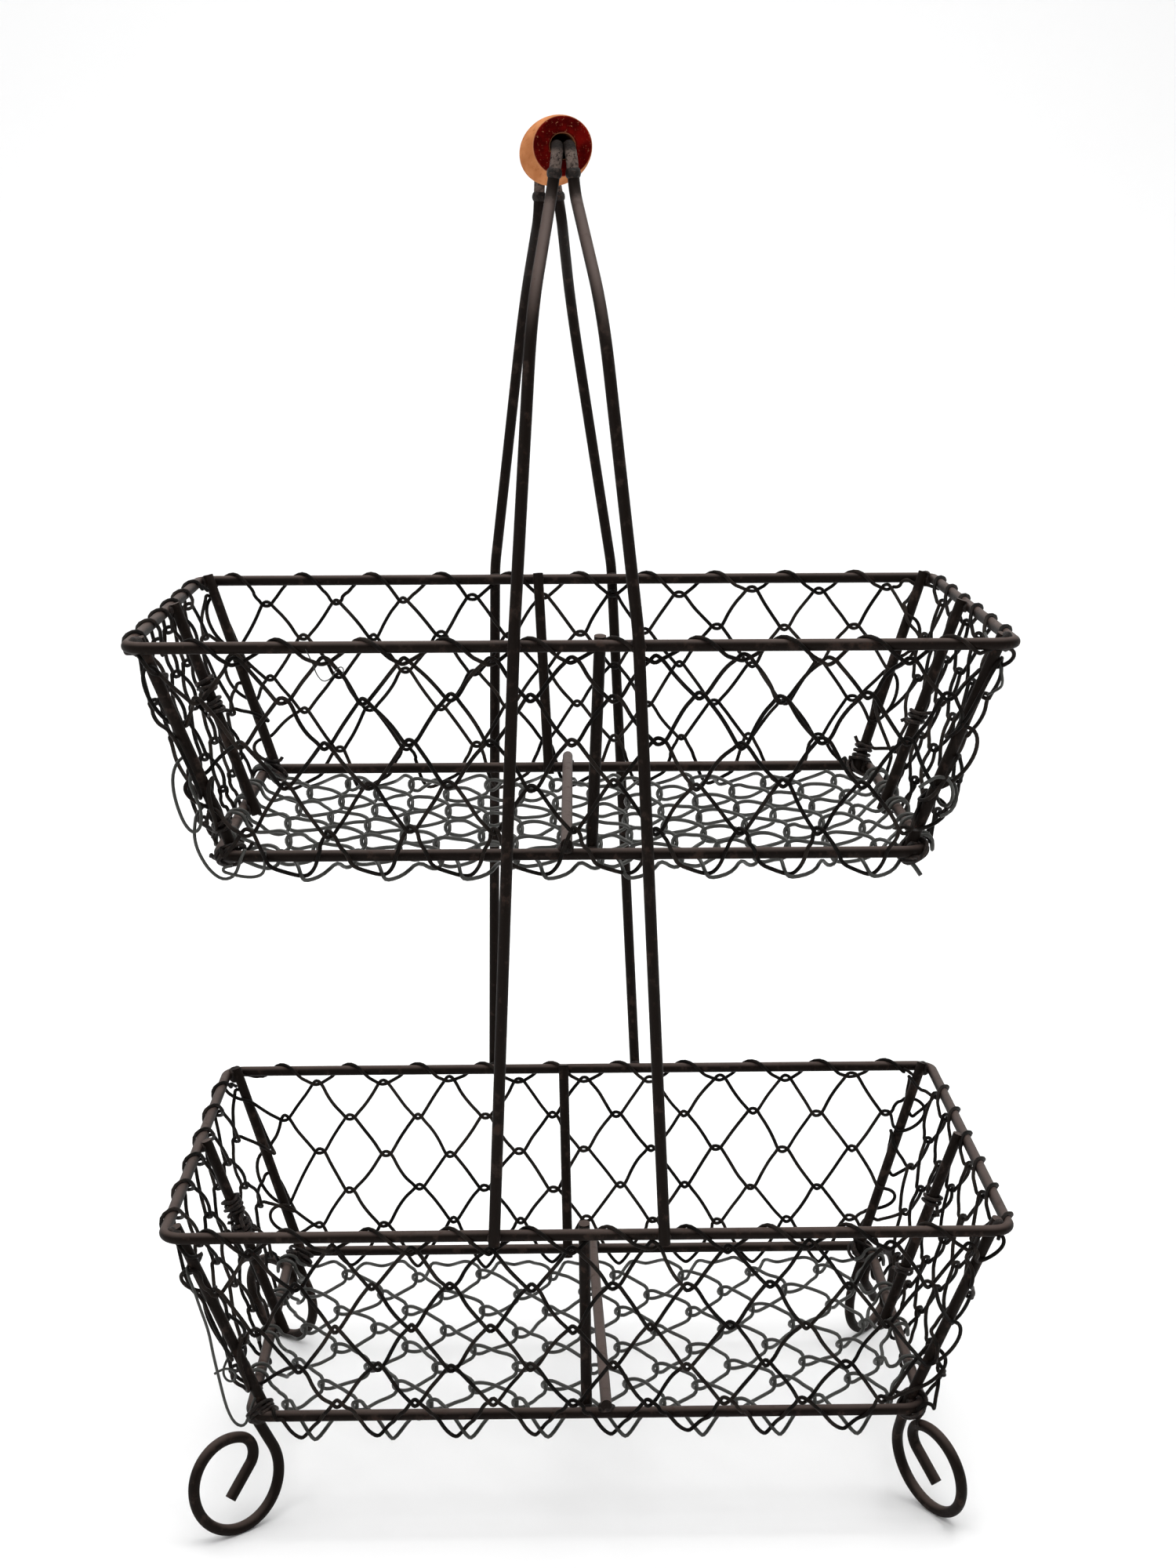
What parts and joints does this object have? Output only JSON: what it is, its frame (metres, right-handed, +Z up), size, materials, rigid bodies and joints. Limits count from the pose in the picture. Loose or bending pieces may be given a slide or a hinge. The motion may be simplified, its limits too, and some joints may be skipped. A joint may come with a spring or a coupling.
{
  "type": "tiered wire basket",
  "caption": "Free-standing tiered basket of painted rod and hooked wire netting, on scroll feet, carried by bent wires with a turning wooden grip.",
  "frame": {"origin": "on the ground under the middle of the whole basket", "axes": "+X to the right along the long sides, +Y from the front to the rear, +Z up"},
  "size_m": [0.3634, 0.2316, 0.589],
  "materials": {
    "painted_rod": "brown-black paint, satin, rubbed rusty brown on the upper sides",
    "netting_wire": "black annealed wire under thin paint, satin",
    "stained_wood": "orange-brown stained and lacquered side, dark red end grain"
  },
  "bodies": {
    "frame": {"upper_top_rim": "painted_rod", "upper_bottom_ring": "painted_rod", "upper_floor_crossbar": "painted_rod", "upper_front_left_post": "painted_rod", "upper_front_right_post": "painted_rod", "upper_rear_left_post": "painted_rod", "upper_rear_right_post": "painted_rod", "upper_front_mid_post": "painted_rod", "upper_rear_mid_post": "painted_rod", "upper_left_mid_post": "painted_rod", "upper_right_mid_post": "painted_rod", "upper_front_net": "netting_wire", "upper_rear_net": "netting_wire", "upper_left_net": "netting_wire", "upper_right_net": "netting_wire", "upper_floor_net": "netting_wire", "lower_top_rim": "painted_rod", "lower_bottom_ring": "painted_rod", "lower_floor_crossbar": "painted_rod", "lower_front_left_post": "painted_rod", "lower_front_left_foot": "painted_rod", "lower_front_right_post": "painted_rod", "lower_front_right_foot": "painted_rod", "lower_rear_left_post": "painted_rod", "lower_rear_left_foot": "painted_rod", "lower_rear_right_post": "painted_rod", "lower_rear_right_foot": "painted_rod", "lower_front_mid_post": "painted_rod", "lower_rear_mid_post": "painted_rod", "lower_left_mid_post": "painted_rod", "lower_right_mid_post": "painted_rod", "lower_front_net": "netting_wire", "lower_rear_net": "netting_wire", "lower_left_net": "netting_wire", "lower_right_net": "netting_wire", "lower_floor_net": "netting_wire", "front_left_upright": "painted_rod", "front_left_weld": "painted_rod", "front_right_upright": "painted_rod", "front_right_weld": "painted_rod", "rear_left_upright": "painted_rod", "rear_left_weld": "painted_rod", "rear_right_upright": "painted_rod", "rear_right_weld": "painted_rod", "left_grip_wire": "painted_rod", "right_grip_wire": "painted_rod"},
    "grip": {"wooden_grip": "stained_wood"}
  },
  "joints": [
    {"name": "grip_spin", "type": "hinge", "parent": "frame", "child": "grip", "pos_m": [-0.008, 0, 0.575], "axis": [-0.0715, 0.9974, 0], "continuous": true}
  ]
}
